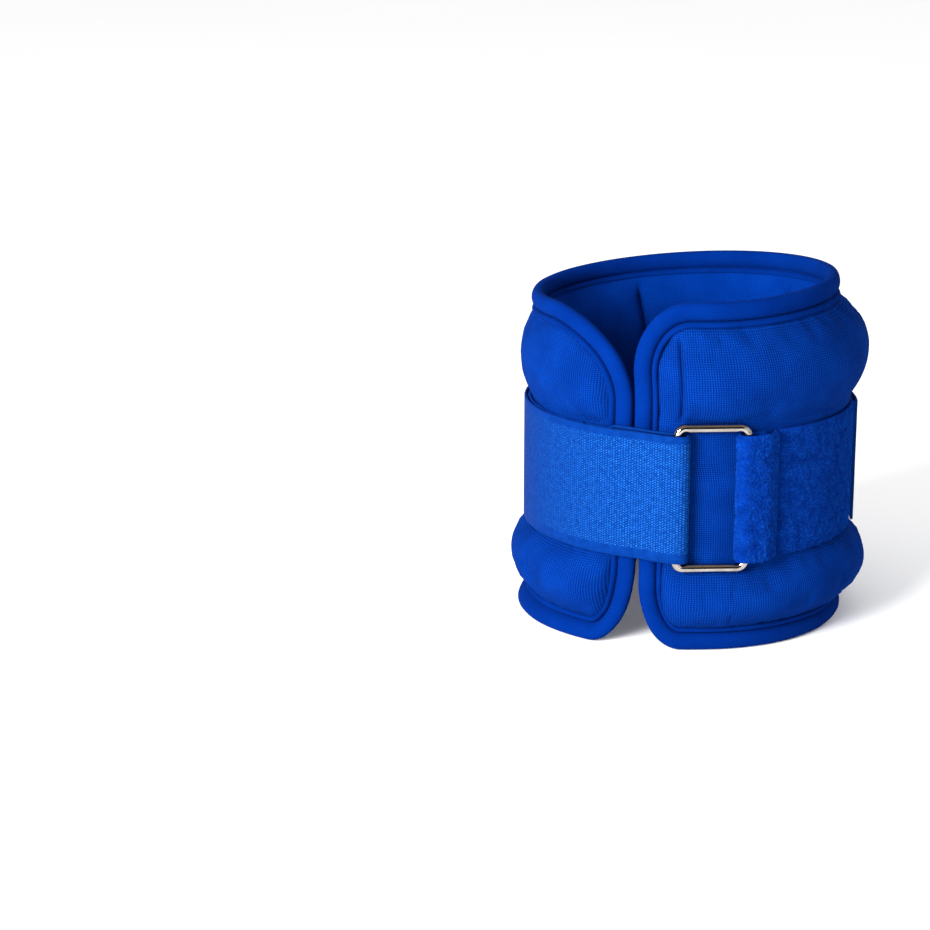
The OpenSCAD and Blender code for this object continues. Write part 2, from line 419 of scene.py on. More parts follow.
wall_r, wall_top, roof_gap = 1.7, 1.3, 0.1
wall_angles = [math.radians(a) for a in range(-80, 81, 10)]
wall = [(wall_r * math.sin(a), -wall_r * math.cos(a), z) for z in (0.0, wall_top) for a in wall_angles]
roof = [(x, y, wall_top + roof_gap) for y in (-wall_r, wall_r) for x in (-wall_r, wall_r)]
glossy_card("dark_wall", wall, (0.004, 0.004, 0.004))
glossy_card("brown_roof", roof, (0.42, 0.34, 0.27))
print("2 lamps, a white surround, 2 cards for the metal and a floor of", 2 * floor_half, "m")


# %% [markdown]
# ## Mixing finishes
# A finish is a small tree of nodes. Writing each tree by hand is long, so one helper class adds a node,
# sets its inputs and hands back its output. Values that are the same all over a piece, such as roughness
# or sheen, go straight on the shader. Only what varies over the cloth runs through nodes.

# %% A helper for node trees
class Finish:
    """One procedural material. Its methods add a node and give back that node's output."""

    def __init__(self, name, roughness=0.9, specular=0.06, metallic=0.0, sheen=0.0, tint=(0.1, 0.35, 1.0)):
        self.material = bpy.data.materials.new(name)
        self.material.use_nodes = True
        self.nodes = self.material.node_tree.nodes
        self.links = self.material.node_tree.links
        self.shader = self.nodes["Principled BSDF"]
        self.shader.inputs["Roughness"].default_value = roughness
        self.shader.inputs["Specular IOR Level"].default_value = specular
        self.shader.inputs["Metallic"].default_value = metallic
        self.shader.inputs["Sheen Weight"].default_value = sheen
        self.shader.inputs["Sheen Roughness"].default_value = 0.5
        self.shader.inputs["Sheen Tint"].default_value = (*tint, 1)
        self.shader.inputs["Specular Tint"].default_value = (*tint, 1)

    def wire(self, socket, value):
        if isinstance(value, bpy.types.NodeSocket):
            self.links.new(value, socket)
        elif value is not None:
            socket.default_value = value

    def calc(self, operation, *values):
        """A sum on numbers: each value is a number or another node's output."""
        node = self.nodes.new("ShaderNodeMath")
        node.operation = operation
        for socket, value in zip(node.inputs, values):
            self.wire(socket, value)
        return node.outputs[0]

    def cloth_place(self):
        """Along and across the cloth, in mm."""
        uv = self.nodes.new("ShaderNodeUVMap")
        uv.uv_map = "cloth_mm"
        split = self.nodes.new("ShaderNodeSeparateXYZ")
        self.wire(split.inputs[0], uv.outputs[0])
        return split.outputs[0], split.outputs[1], uv.outputs[0]

    def speckle(self, where, size_mm, detail=2.0):
        """Soft noise with blotches of about that size, from 0 to 1."""
        node = self.nodes.new("ShaderNodeTexNoise")
        self.wire(node.inputs["Vector"], where)
        node.inputs["Scale"].default_value = 1.0 / size_mm
        node.inputs["Detail"].default_value = detail
        return node.outputs["Fac"]

    def between(self, share, low, high, low_out=0.0, high_out=1.0):
        """Stretches a value from one range to another, and clamps it."""
        node = self.nodes.new("ShaderNodeMapRange")
        for socket, value in zip(node.inputs, (share, low, high, low_out, high_out)):
            self.wire(socket, value)
        return node.outputs[0]

    def mix(self, share, first, second):
        """From the first colour to the second as share goes from 0 to 1."""
        node = self.nodes.new("ShaderNodeMix")
        node.data_type = "RGBA"
        self.wire(node.inputs[0], share)
        for socket, colour in ((node.inputs[6], first), (node.inputs[7], second)):
            self.wire(socket, (*colour, 1) if isinstance(colour, tuple) else colour)
        return node.outputs[2]

    def colour(self, value):
        self.wire(self.shader.inputs["Base Color"], value)

    def relief(self, height, depth_mm, strength=1.0):
        """Raised and sunk detail that is too fine to be mesh."""
        node = self.nodes.new("ShaderNodeBump")
        node.inputs["Strength"].default_value = strength
        node.inputs["Distance"].default_value = depth_mm * MM
        self.wire(node.inputs["Height"], height)
        self.wire(self.shader.inputs["Normal"], node.outputs[0])


def dress(piece, finish):
    """Gives a piece its finish."""
    piece.data.materials.clear()
    piece.data.materials.append(finish.material)
    return piece


print("finish helper ready")

# %% [markdown]
# ## The knit face
# The cover is neoprene foam with a fine jersey knit glued to it. A jersey shows as upright columns of
# little V shapes, just under a millimetre apart. It could be modelled thread by thread, but there are
# thousands of stitches, so the V is drawn by a formula: a wave up the cloth that bends on both sides of
# each column's middle. A little fuzz and slow blotches keep it from looking printed.

# %% Knit finishes
def knit_finish(name, colours, wale, course, fuzz=0.5):
    """Jersey with columns so many mm wide and stitches so many mm tall. Colours: groove in painted shade, yarn,
    and lit yarn with a painted highlight.
    """
    f = Finish(name, roughness=0.9, specular=0.005, sheen=0.012)
    along, up, where = f.cloth_place()
    drift = f.calc("MULTIPLY", f.calc("SUBTRACT", f.speckle(where, 9.0), 0.5), 1.2)
    column = f.calc("DIVIDE", f.calc("ADD", along, drift), wale)
    off_middle = f.calc("ABSOLUTE", f.calc("SUBTRACT", f.calc("FRACT", column), 0.5))
    ridge = f.calc("SUBTRACT", 1.0, f.calc("MULTIPLY", off_middle, 2.0))
    climb = f.calc("ADD", f.calc("DIVIDE", up, course), f.calc("MULTIPLY", off_middle, 1.4))
    wave = f.calc("SINE", f.calc("MULTIPLY", climb, 2 * math.pi))
    stitch = f.calc("MULTIPLY", f.calc("MULTIPLY_ADD", wave, 0.5, 0.5), 0.58)
    stitch = f.calc("ADD", stitch, f.calc("MULTIPLY", ridge, 0.46))
    hairs = f.speckle(where, 0.45, 3.0)
    height = f.calc("ADD", f.calc("MULTIPLY", stitch, 1 - 0.4 * fuzz), f.calc("MULTIPLY", hairs, fuzz))
    blotch = f.speckle(where, 14.0)
    # Colour follows the stitch height: painted shade in the grooves and a painted highlight on the stitch tops,
    # with slow blotches that vary the tone.
    lit = f.between(f.calc("ADD", height, f.calc("MULTIPLY", blotch, 0.35)), 0.55, 1.25)
    body = f.mix(f.between(lit, 0.0, 0.5), colours[0], colours[1])
    f.colour(f.mix(f.between(lit, 0.5, 1.0), body, colours[2]))
    f.relief(height, 0.22, 0.7)
    return f


# Each set is a groove colour in painted shade, a yarn colour, and a lit colour with a painted highlight.
cover_blues = ((0.0003, 0.0058, 0.058), (0.0006, 0.0150, 0.128), (0.0012, 0.040, 0.285))
lining_blues = ((0.0001, 0.0085, 0.090), (0.0003, 0.0180, 0.160), (0.001, 0.036, 0.26))
binding_blues = ((0.0001, 0.0080, 0.085), (0.0003, 0.0145, 0.135), (0.0008, 0.027, 0.205))
cover_knit = knit_finish("cover_knit", cover_blues, wale=0.85, course=0.8)
lining_knit = knit_finish("lining_knit", lining_blues, wale=0.8, course=0.7)
binding_knit = knit_finish("binding_knit", binding_blues, wale=0.6, course=0.5, fuzz=0.35)
print("knit finishes:", cover_knit.material.name, lining_knit.material.name, binding_knit.material.name)

# %% [markdown]
# ## The outer cover
# The cover is one panel. The tape sewn round its middle holds it down in a valley, and the stuffing
# swells it into a lobe above and a lobe below. Each lobe is drawn as a flattened half wave between its
# two seams, a bit under full size. A cloth simulation then blows it up against the seams, because a
# simulated sheet finds the small uneven swells that a formula doesn't.

# %% Shape of the stuffed cover
lobe_square = 0.58
rim_swell = 2.2
upper_thin, lower_thin = 24.0, 20.0
end_round = 15.0
unevenness = 0.35


def lobe(share):
    """A stuffed lobe across its width: steep at both seams and broad on top."""
    return np.sin(np.pi * np.clip(share, 0, 1)) ** lobe_square


def swell(along, up):
    """Slow unevenness of the stuffing, from -1 to 1."""
    total = 0
    for long_way, shift, up_way in ((31.0, 0.4, 47.0), (19.0, 2.1, 35.0), (53.0, 4.0, 28.0)):
        total = total + np.sin(along / long_way * 2 * np.pi + shift) * np.cos(up / up_way * 2 * np.pi + shift)
    return total / 3


def in_ring_zone(angle):
    """1 where the ring lies, 0 away from it. The valley is wider there, to leave the ring its room."""
    fade = 16
    return ease((angle + 4) / fade) * ease((bar_right + 24 - angle) / fade)


def cover_height(along, up, fullness):
    """How far the cover stands out from the middle of the cuff's thickness."""
    angle = signed_angle(along)
    room = ring_room * in_ring_zone(angle)
    top = panel_top(along) - under_lip
    bottom = panel_bottom(along) + under_lip
    right_side = np.clip(np.cos(np.radians(angle - lean_toward)), 0, 1)
    lobe_from, lobe_to = valley_high + room + lift_right * right_side, valley_low - room
    upper = np.clip((up - lobe_from) / np.maximum(top - lobe_from, 1.0), 0, 1)
    upper = upper ** (1 + rise_right * right_side)
    lower = np.clip((lobe_to - up) / np.maximum(lobe_to - bottom, 1.0), 0, 1) ** sag_low
    size_upper = lobe_h["upper"] + rim_swell * np.cos(np.radians(angle - lean_toward))
    size_upper = size_upper * ease((top - lobe_from) / upper_thin)
    size_lower = lobe_h["lower"] * ease((lobe_to - bottom) / lower_thin)
    seam_drop = (seam_h - valley_h) * (ease(upper) + ease(lower))
    stuffed = valley_h + seam_drop + fullness * (size_upper * lobe(upper) + size_lower * lobe(lower))
    from_end = np.minimum(along, cloth_len - along) - seam_inset - under_lip
    end_rise = np.sqrt(1 - (1 - np.clip(from_end / end_round, 0, 1)) ** 2)
    loose = ease(upper / 0.2) + ease(lower / 0.2)
    return seam_h + (stuffed - seam_h + unevenness * swell(along, up) * loose) * end_rise


left_zone = corners["left_top"][0] - seam_inset
right_zone = corners["right_top"][0] - seam_inset
left_straight = corners["left_top"][0]
right_straight = cloth_len - corners["right_top"][0]
fine_from = cloth_len - 34
cover_rows = 92
columns = np.concatenate([
    left_straight - left_zone * np.cos(np.linspace(0, np.pi / 2, 40, endpoint=False)),
    spans((left_straight, fine_from, 176), (fine_from, right_straight, 18))[:-1],
    right_straight + right_zone * np.sin(np.linspace(0, np.pi / 2, 40)),
])
share_up = np.linspace(0, 1, cover_rows)[:, None]
cloth_up = panel_bottom(columns) + (panel_top(columns) - panel_bottom(columns)) * share_up
cloth_along = np.broadcast_to(columns, cloth_up.shape)
print("cover grid:", cloth_up.shape, "points")


# %% Blowing the cover up
def puff(piece, held, pressure, frames=20):
    """Blows a sheet up by a cloth simulation while its held points stay. Gives each point's move, in mm."""
    group = piece.vertex_groups.new(name="held")
    group.add(np.flatnonzero(held).tolist(), 1.0, "REPLACE")
    cloth = piece.modifiers.new("stuffing", "CLOTH")
    settings = cloth.settings
    settings.vertex_group_mass = "held"
    settings.quality = 5
    settings.mass = 0.25
    settings.tension_stiffness = 12
    settings.compression_stiffness = 12
    settings.shear_stiffness = 4
    settings.bending_stiffness = 0.6
    settings.shrink_min = -0.015
    settings.use_pressure = True
    settings.uniform_pressure_force = pressure
    settings.effector_weights.gravity = 0
    cloth.collision_settings.use_collision = False
    cloth.point_cache.frame_start = 1
    cloth.point_cache.frame_end = frames
    for step in range(1, frames + 1):
        scene.frame_set(step)
    graph = bpy.context.evaluated_depsgraph_get()
    blown = piece.evaluated_get(graph).data
    after = np.zeros(len(blown.vertices) * 3)
    before = np.zeros(len(piece.data.vertices) * 3)
    blown.vertices.foreach_get("co", after)
    piece.data.vertices.foreach_get("co", before)
    piece.modifiers.remove(cloth)
    piece.vertex_groups.remove(group)
    scene.frame_set(1)
    return (after - before).reshape(-1, 3) / MM


start_fullness = 0.9
air_pressure = 4.0
still_end, calm_over = 8.0, 12.0
cover_uv = np.stack([cloth_along, cloth_up], -1)
start_points = place(cloth_along, cloth_up, cover_height(cloth_along, cloth_up, start_fullness))
blown_by = np.zeros_like(start_points)
from_ends = np.minimum(cloth_along, cloth_len - cloth_along) - seam_inset
trial = grid_piece("trial_cover", start_points, cover_uv)
row_number = np.arange(cover_rows)[:, None]
near_edge = (row_number < 2) | (row_number > cover_rows - 3)
room = ring_room * in_ring_zone(signed_angle(cloth_along))
in_valley = (cloth_up > valley_low - room) & (cloth_up < valley_high + room)
held = near_edge | in_valley | (from_ends < still_end)
blown_by = puff(trial, held.ravel(), air_pressure).reshape(start_points.shape)
bpy.data.objects.remove(trial)
amount = np.linalg.norm(blown_by, axis=-1, keepdims=True)
print("the simulation moved the cover by up to", round(float(amount.max()), 2), "mm")

# %% [markdown]
# The swell from the simulation is capped, so that no lobe grows past its size, and it fades out toward both
# front edges, where the grid is so fine that a simulation makes spikes in it. What a
# simulation can't know goes on top: the pucker that the binding's stitches pull along the seam,
# and the upright crease on the right flap, where the cloth folds over the end of the first sand bag.

# %% The finished cover
most_swell = 1.6
crease_angle = 18.5
fold_deep, fold_wide = 2.6, 0.85
fold_step = 2.3
pucker_h = 0.12
crease_at = along_at(crease_angle - 360)
capped = np.minimum(1.0, most_swell / np.maximum(amount, 1e-6))
blown_by = blown_by * capped * ease((from_ends - still_end) / calm_over)[..., None]


def crease(along, up):
    """The fold on the right flap: a narrow groove, with the cloth lower on the side of the edge."""
    beyond = along - crease_at + 1.4 * np.sin((up - strap_high) / (cuff_h - strap_high) * np.pi) - 0.7
    fades = ease((up - strap_high - 2) / 5) * ease((cuff_h - 11 - up) / 4)
    groove = -fold_deep * np.exp(-((beyond / fold_wide) ** 2))
    lower_side = -fold_step * ease((beyond + 0.8) / 1.8) * ease((14 - beyond) / 8)
    return (groove + lower_side) * fades


def pucker(along, up):
    """Small waves that the stitches pull into the cloth next to the seam."""
    from_seam = seam_distance(along, up)
    waves = np.sin((along + up) / 6.4 * 2 * np.pi) + np.sin((along - up) / 9.7 * 2 * np.pi + 1)
    return pucker_h * waves * np.exp(-(((from_seam - 3.5) / 2.5) ** 2))


detail = crease(cloth_along, cloth_up) + pucker(cloth_along, cloth_up)
fullness = start_fullness + 0.0
cover_out = cover_height(cloth_along, cloth_up, fullness) + detail
cover = grid_piece("cover_panel", place(cloth_along, cloth_up, cover_out) + blown_by, cover_uv)
thicken(cover, skin_t, outward=False)
apply_all(cover)
dress(cover, cover_knit)
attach(cover, "cuff")
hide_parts("cover_upper", "cover_middle", "cover_lower")
print("cover:", len(cover.data.polygons), "faces")

# %% [markdown]
# ## The lining
# The lining is the same stuff, turned inward. It is narrowest round the ankle and flares to both rims.
# The sand bags press on it from behind, and it creases upright where one bag ends and the next begins.

# %% Lining
bag_edges = [12, 75, 139, 208, 277, 345.5]
bore_flare = 32.0
rim_half = 2.75
crease_deep, crease_wide = 6.0, 1.9


def bore_out(up):
    """How far in the lining stands from the middle of the thickness, before creases."""
    flare = ease((bore_flare - up) / bore_flare) + ease((up - cuff_h + bore_flare) / bore_flare)
    return -(mid_r - bore_r) + (mid_r - bore_r - rim_half) * flare


def lining_height(along, up):
    """The lining with the bags behind it: full on each bag, creased between two bags."""
    from_seam = seam_distance(along, up)
    settled = ease(from_seam / 14)
    out = -seam_h + (bore_out(up) + seam_h) * np.sqrt(1 - (1 - settled) ** 2)
    for edge in bag_edges:
        beside = along - along_at(-edge)
        fades = ease((from_seam - 2) / 10) * ease((up - 20) / 20)
        out = out + crease_deep * np.exp(-np.abs(beside) / crease_wide) * fades
    return out - 0.9 * swell(along + 17, up + 5) * settled


lining_cols = np.concatenate([
    left_straight - left_zone * np.cos(np.linspace(0, np.pi / 2, 24, endpoint=False)),
    np.linspace(left_straight, right_straight, 260, endpoint=False),
    right_straight + right_zone * np.sin(np.linspace(0, np.pi / 2, 16)),
])
lining_share = np.linspace(0, 1, 80)[:, None]
lining_up = panel_bottom(lining_cols) + (panel_top(lining_cols) - panel_bottom(lining_cols)) * lining_share
lining_along = np.broadcast_to(lining_cols, lining_up.shape)
lining = grid_piece(
    "lining_panel",
    place(lining_along, lining_up, lining_height(lining_along, lining_up)),
    np.stack([lining_along, lining_up], -1),
)
lining.data.flip_normals()
thicken(lining, skin_t, outward=False)
apply_all(lining)
dress(lining, lining_knit)
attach(lining, "cuff")
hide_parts("inner_lining")
print("lining:", len(lining.data.polygons), "faces")

# %% [markdown]
# ## The edge binding
# A strip of knit is folded round the raw edge of both layers and stitched down. From outside it shows a
# fat round roll, then the groove where the stitches pull it in, then a narrow lip that lies on the cover.
# That section is swept all the way round the outline, which closes on itself.

# %% Binding
roll_half = 3.45
roll_thick = 2.75
groove_d = 7.0
groove_h = 0.7


def binding_section():
    """Closed section of the folded binding as (inset, out) pairs, from the outer lip round to the inner."""
    turn = np.radians(np.linspace(158, 0, 12))
    roll = [(roll_half - roll_half * math.cos(t), roll_thick * math.sin(t) ** 0.8) for t in turn]
    outer_lip = [(8.9, 0.3), (9.4, 1.0), (9.35, 1.9), (9.0, 2.45), (8.3, 2.65), (7.6, 2.25), (7.25, 1.5)]
    outer_lip = outer_lip + [(groove_d, groove_h - 0.1)]
    inner_lip = [(groove_d, -1.1), (7.3, -1.8), (8.0, -2.4), (8.8, -2.3), (9.1, -1.4), (8.8, -0.4)]
    return outer_lip + roll + [(d, -h) for d, h in roll[-2::-1]] + inner_lip


section = binding_section()
rings = np.stack([outline(inset) for inset, _ in section], 1)
path = outline(0)
steps = np.linalg.norm(np.diff(np.vstack([path, path[:1]]), axis=0), axis=1)
walked = np.concatenate([[0], np.cumsum(steps)])
round_section = np.cumsum([0] + [math.dist(section[k], section[k - 1]) for k in range(1, len(section))])
uneven = 1 + 0.035 * np.sin(walked[:-1] / 23 * 2) + 0.025 * np.sin(walked[:-1] / 7.3 * 2 + 1)
pulled = 0.10 * np.sin(walked[:-1] / 3.2 * 2 * np.pi)
heights = np.array([h for _, h in section])
near_groove = np.exp(-((np.array([d for d, _ in section]) - groove_d) ** 2) / 2.0) * np.sign(heights)
binding_out = heights * uneven[:, None] + pulled[:, None] * near_groove
binding_uv = np.stack(np.meshgrid(walked, np.append(round_section, round_section[-1] + 1), indexing="ij"), -1)
binding_points = place(rings[..., 0], rings[..., 1], binding_out)
binding = grid_piece("binding_strip", binding_points, binding_uv, close_rows=True, close_cols=True)
dress(binding, binding_knit)
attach(binding, "cuff")
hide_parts("edge_binding")
print("binding:", len(binding.data.polygons), "faces round", round(walked[-1]), "mm")


# %% [markdown]
# ## Thread
# A sewn seam is a row of short stitches, each one a bit of thread that dips into the cloth at both ends.
# One helper lays such a bit of thread along any short line, and every seam on the cuff uses it.

# %% Stitches
def stitches(name, starts, ends, outs, thread_d, sag=0.4, sides=6, steps=5):
    """One closed bit of thread from each start to each end, in mm. It bows out of the cloth along outs."""
    t = np.linspace(0, 1, steps)
    body = starts[:, None] + (ends - starts)[:, None] * t[:, None]
    body = body + outs[:, None] * (np.sin(np.pi * t) * thread_d * sag)[:, None]
    ahead = ends - starts
    ahead = ahead / np.linalg.norm(ahead, axis=-1, keepdims=True)
    across = np.cross(ahead, outs)
    turn = np.linspace(0, 2 * np.pi, sides, endpoint=False)
    thick = thread_d / 2 * np.sin(np.clip(t * 0.8 + 0.1, 0, 1) * np.pi) ** 0.4
    ring = outs[:, None] * np.cos(turn)[:, None] + across[:, None] * np.sin(turn)[:, None]
    points = body[:, :, None] + ring[:, None] * thick[None, :, None, None]
    count = len(starts)
    faces = []
    for s in range(count):
        base = s * steps * sides
        for i in range(steps - 1):
            for k in range(sides):
                a, b = base + i * sides + k, base + i * sides + (k + 1) % sides
                faces.append([a, b, b + sides, a + sides])
        faces.append([base + k for k in range(sides)][::-1])
        faces.append([base + (steps - 1) * sides + k for k in range(sides)])
    mesh = bpy.data.meshes.new(name)
    mesh.from_pydata((points.reshape(-1, 3) * MM).tolist(), [], faces)
    layer = mesh.uv_layers.new(name="cloth_mm")
    where = np.zeros(len(mesh.loops), int)
    mesh.loops.foreach_get("vertex_index", where)
    uv = np.stack([(where // sides) * 0.6, (where % sides) * 0.25], -1)
    layer.data.foreach_set("uv", uv.astype(np.float32).ravel())
    piece = bpy.data.objects.new(name, mesh)
    scene.collection.objects.link(piece)
    mesh.shade_smooth()
    return piece


dark_thread = Finish("dark_thread", roughness=0.7, specular=0.05)
thread_along, thread_across, _ = dark_thread.cloth_place()
twine = dark_thread.calc("ADD", thread_along, thread_across)
ply = dark_thread.calc("SINE", dark_thread.calc("MULTIPLY", twine, 9.0))
thread_blues = (0.0001, 0.002, 0.022), (0.0003, 0.005, 0.05)
dark_thread.colour(dark_thread.mix(dark_thread.between(ply, -1, 1), *thread_blues))
dark_thread.relief(ply, 0.05)

stitch_pitch = 3.2
stitch_l = 2.5
seam_thread_d = 0.45
seam = outline(groove_d, 0.4)
seam_walk = np.concatenate([[0], np.cumsum(np.linalg.norm(np.diff(seam, axis=0), axis=1))])


def seam_place(distance, out):
    """A place on the binding's stitch line, so many mm along it."""
    return place(np.interp(distance, seam_walk, seam[:, 0]), np.interp(distance, seam_walk, seam[:, 1]), out)


stitch_starts = np.arange(0, seam_walk[-1] - stitch_pitch, stitch_pitch)
from_points = seam_place(stitch_starts, groove_h)
to_points = seam_place(stitch_starts + stitch_l, groove_h)
stitch_middles = stitch_starts + stitch_l / 2
outs = seam_place(stitch_middles, groove_h + 1) - seam_place(stitch_middles, groove_h)
binding_stitches = stitches("binding_stitches", from_points, to_points, outs, seam_thread_d)
dress(binding_stitches, dark_thread)
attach(binding_stitches, "cuff")
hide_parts("binding_thread")
print("binding seam:", len(stitch_starts), "stitches of", stitch_l, "mm")


# %% [markdown]
# ## Bands of tape and webbing
# The hook strap and the loop tape are flat bands. A simulation would only crumple them, so they are built
# directly: a line is drawn as seen from above, and a slim section with round edges is carried along it.

# %% A maker of bands
def walk(line):
    """How far along a line each of its points is, in mm."""
    return np.concatenate([[0], np.cumsum(np.linalg.norm(np.diff(line, axis=0), axis=1))])


def on_line(line, distance, side):
    """Place and outward direction at some distance along a line. side is 1 or -1: which side is the face."""
    gone = walk(line)
    ahead = np.gradient(line, axis=0)
    ahead = ahead / np.linalg.norm(ahead, axis=1, keepdims=True)
    face = side * np.stack([-ahead[:, 1], ahead[:, 0]], -1)
    where = np.stack([np.interp(distance, gone, line[:, k]) for k in (0, 1)], -1)
    look = np.stack([np.interp(distance, gone, face[:, k]) for k in (0, 1)], -1)
    return where, look / np.linalg.norm(look, axis=-1, keepdims=True)


def band_section(width, thickness, across=18, edge_steps=3):
    """Closed section of a flat band with round edges: (height across the band, out) pairs."""
    flat = np.linspace(-width / 2 + thickness / 2, width / 2 - thickness / 2, across)
    turn = np.linspace(0, np.pi, edge_steps + 2)[1:-1]
    face = [(w, thickness / 2) for w in flat]
    top = [(flat[-1] + thickness / 2 * math.sin(t), thickness / 2 * math.cos(t)) for t in turn]
    rear = [(w, -thickness / 2) for w in flat[::-1]]
    low = [(flat[0] - thickness / 2 * math.sin(t), -thickness / 2 * math.cos(t)) for t in turn]
    return np.array(face + top + rear + low)


def band(name, line, stretch, side, width, thickness, step=1.1, lift=None, cut=None):
    """A band that follows a line between two distances. lift moves it up, and cut shapes its far end."""
    profile = band_section(width, thickness)
    count = max(2, int((stretch[1] - stretch[0]) / step)) + 1
    distance = np.linspace(*stretch, count)[:, None] + 0 * profile[None, :, 0]
    if cut is not None:
        distance = distance + cut(profile[None, :, 0]) * ease((distance - stretch[1] + 5) / 5)
    where, face = on_line(line, distance, side)
    flat = where + face * profile[None, :, 1:2]
    up = strap_mid + profile[None, :, 0] + (0 if lift is None else lift(distance))
    points = np.concatenate([flat, up[..., None] + 0 * flat[..., :1]], -1)
    around_it = np.cumsum(np.append([0], np.linalg.norm(np.diff(profile, axis=0), axis=1))) - width / 2
    around_it = np.append(around_it, around_it[-1] + thickness)
    uv = np.stack(np.broadcast_arrays(np.linspace(*stretch, count)[:, None], around_it[None]), -1)
    return grid_piece(name, points, uv, close_cols=True, caps=True)


print("band maker ready")

# %% [markdown]
# ## The hook strap's finish
# The strap shows the woven back of hook tape: light blue, with staggered bright floats over a darker
# ground, and a plain selvage along both edges. Round its left side the floats are drawn duller: that is
# painted shade, where the strap turns away from the light. Its other face carries the hooks. Both are
# drawn by formulas on the band's own length and width, so the floats stay the same size all along.

# %% Strap finishes
selvage_w = 3.6
float_pitch = 1.1
float_rise = 0.95
# Painted shade: the place along the strap, in mm, where the floats are drawn darkest.
painted_shade_at = 145.0


def hook_back_finish():
    f = Finish("hook_back", roughness=0.6, specular=0.01)
    along, across, where = f.cloth_place()
    column = f.calc("DIVIDE", along, float_pitch)
    odd = f.calc("MODULO", f.calc("FLOOR", column), 2.0)
    in_column = f.calc("SUBTRACT", f.calc("FRACT", column), 0.5)
    lean = f.calc("MULTIPLY", in_column, f.calc("MULTIPLY_ADD", odd, 1.1, -0.55))
    row = f.calc("ADD", f.calc("DIVIDE", across, float_rise), f.calc("MULTIPLY", odd, 0.5))
    row = f.calc("ADD", row, lean)
    row = f.calc("ADD", row, f.calc("MULTIPLY", f.speckle(where, 1.8), 0.9))
    in_row = f.calc("SUBTRACT", f.calc("FRACT", row), 0.5)
    far = f.calc("ADD", f.calc("POWER", f.calc("ABSOLUTE", f.calc("MULTIPLY", in_column, 2.1)), 2.0),
                 f.calc("POWER", f.calc("ABSOLUTE", f.calc("MULTIPLY", in_row, 3.0)), 2.0))
    dots = f.between(far, 1.0, 0.1)
    ribs = f.calc("MULTIPLY_ADD", f.calc("SINE", f.calc("MULTIPLY", across, 2 * math.pi / 0.55)), 0.5, 0.5)
    cross = f.calc("MULTIPLY_ADD", f.calc("SINE", f.calc("MULTIPLY", along, 2 * math.pi / 0.5)), 0.5, 0.5)
    plain = f.calc("MULTIPLY", f.calc("ADD", ribs, cross), 0.4)
    from_edge = f.calc("SUBTRACT", strap_w / 2, f.calc("ABSOLUTE", across))
    in_field = f.between(from_edge, selvage_w - 0.3, selvage_w + 0.3)
    patchy = f.between(f.speckle(where, 1.6, 3.0), 0.35, 0.65, 0.2, 1.0)
    # Painted shade: the floats' brightness fades out towards that place, round the strap's left side.
    from_painted_shade = f.calc("ABSOLUTE", f.calc("SUBTRACT", along, painted_shade_at))
    patchy = f.calc("MULTIPLY", patchy, f.between(from_painted_shade, 10.0, 75.0, 0.0, 1.0))
    shine = f.calc("MULTIPLY", f.calc("MULTIPLY", dots, in_field), patchy)
    height = f.calc("ADD", f.calc("MULTIPLY", plain, 0.5), f.calc("MULTIPLY", dots, in_field))
    ground = f.mix(f.between(f.calc("ADD", plain, f.speckle(where, 3.0)), 0.4, 1.3),
                   (0.0004, 0.0105, 0.086), (0.0014, 0.026, 0.165))
    f.colour(f.mix(shine, ground, (0.012, 0.115, 0.42)))
    f.relief(height, 0.2, 0.8)
    return f


def hook_face_finish():
    f = Finish("hook_face", roughness=0.6, specular=0.05)
    along, across, where = f.cloth_place()
    rows = f.calc("SINE", f.calc("MULTIPLY", across, 2 * math.pi / 1.3))
    posts = f.calc("SINE", f.calc("MULTIPLY", along, 2 * math.pi / 1.1))
    hooks = f.between(f.calc("MULTIPLY", rows, posts), 0.1, 0.8)
    share = f.calc("MULTIPLY", hooks, f.speckle(where, 0.6))
    f.colour(f.mix(share, (0.0005, 0.008, 0.07), (0.003, 0.03, 0.18)))
    f.relief(hooks, 0.5, 0.9)
    return f


hook_back = hook_back_finish()
hook_face = hook_face_finish()


def dress_strap(piece):
    """The woven back faces out and the hooks face in: faces on the rear half of the section get the hooks."""
    dress(piece, hook_back)
    piece.data.materials.append(hook_face.material)
    uv = piece.data.uv_layers["cloth_mm"].data
    for face in piece.data.polygons:
        across = sum(uv[k].uv[1] for k in face.loop_indices) / len(face.loop_indices)
        if strap_w / 2 + 1 < across < strap_w * 1.5 and len(face.vertices) == 4:
            face.material_index = 1
    return piece


print("strap finishes:", hook_back.material.name, hook_face.material.name)

# %% [markdown]
# ## The hook strap
# The strap is sewn to the left front edge, runs under and round the ring's left bar, then back over
# itself and round the cuff to its tail. It bends as it is peeled off, so it is cut into stretches that
# meet halfway between two hinges, with one hinge in the middle of each.

# %% The strap's line
wrap_mid = wrap_out - strap_t / 2
under_mid = valley_r + 0.2 + strap_t / 2
bar_left = 14.7
wire_r = 1.8
bar_clear = 0.35
turn_angle = bar_left + math.degrees(1.3 / bar_r)
strap_turn = wire_r + bar_clear + strap_t / 2
root_angle = -19.5
tail_angle = 2 * first_hinge - 235.0
tail_lift = 0.4


def plan(angle, radius):
    """Points as seen from above."""
    return around(np.asarray(angle, float), radius, 0.0)[:, :2]


def half_turn(angle, bend, way, start, end):
    """Round a bar that stands at this angle, from inside to outside. way is 1 to bulge right, -1 left."""
    q = np.radians(np.arange(start, end, 5.0))
    middle = plan([angle], bar_r)
    out = plan([angle], 1.0)
    sideways = np.array([[math.cos(math.radians(angle)), math.sin(math.radians(angle))]])
    return middle + bend * (-np.cos(q)[:, None] * out + way * np.sin(q)[:, None] * sideways)


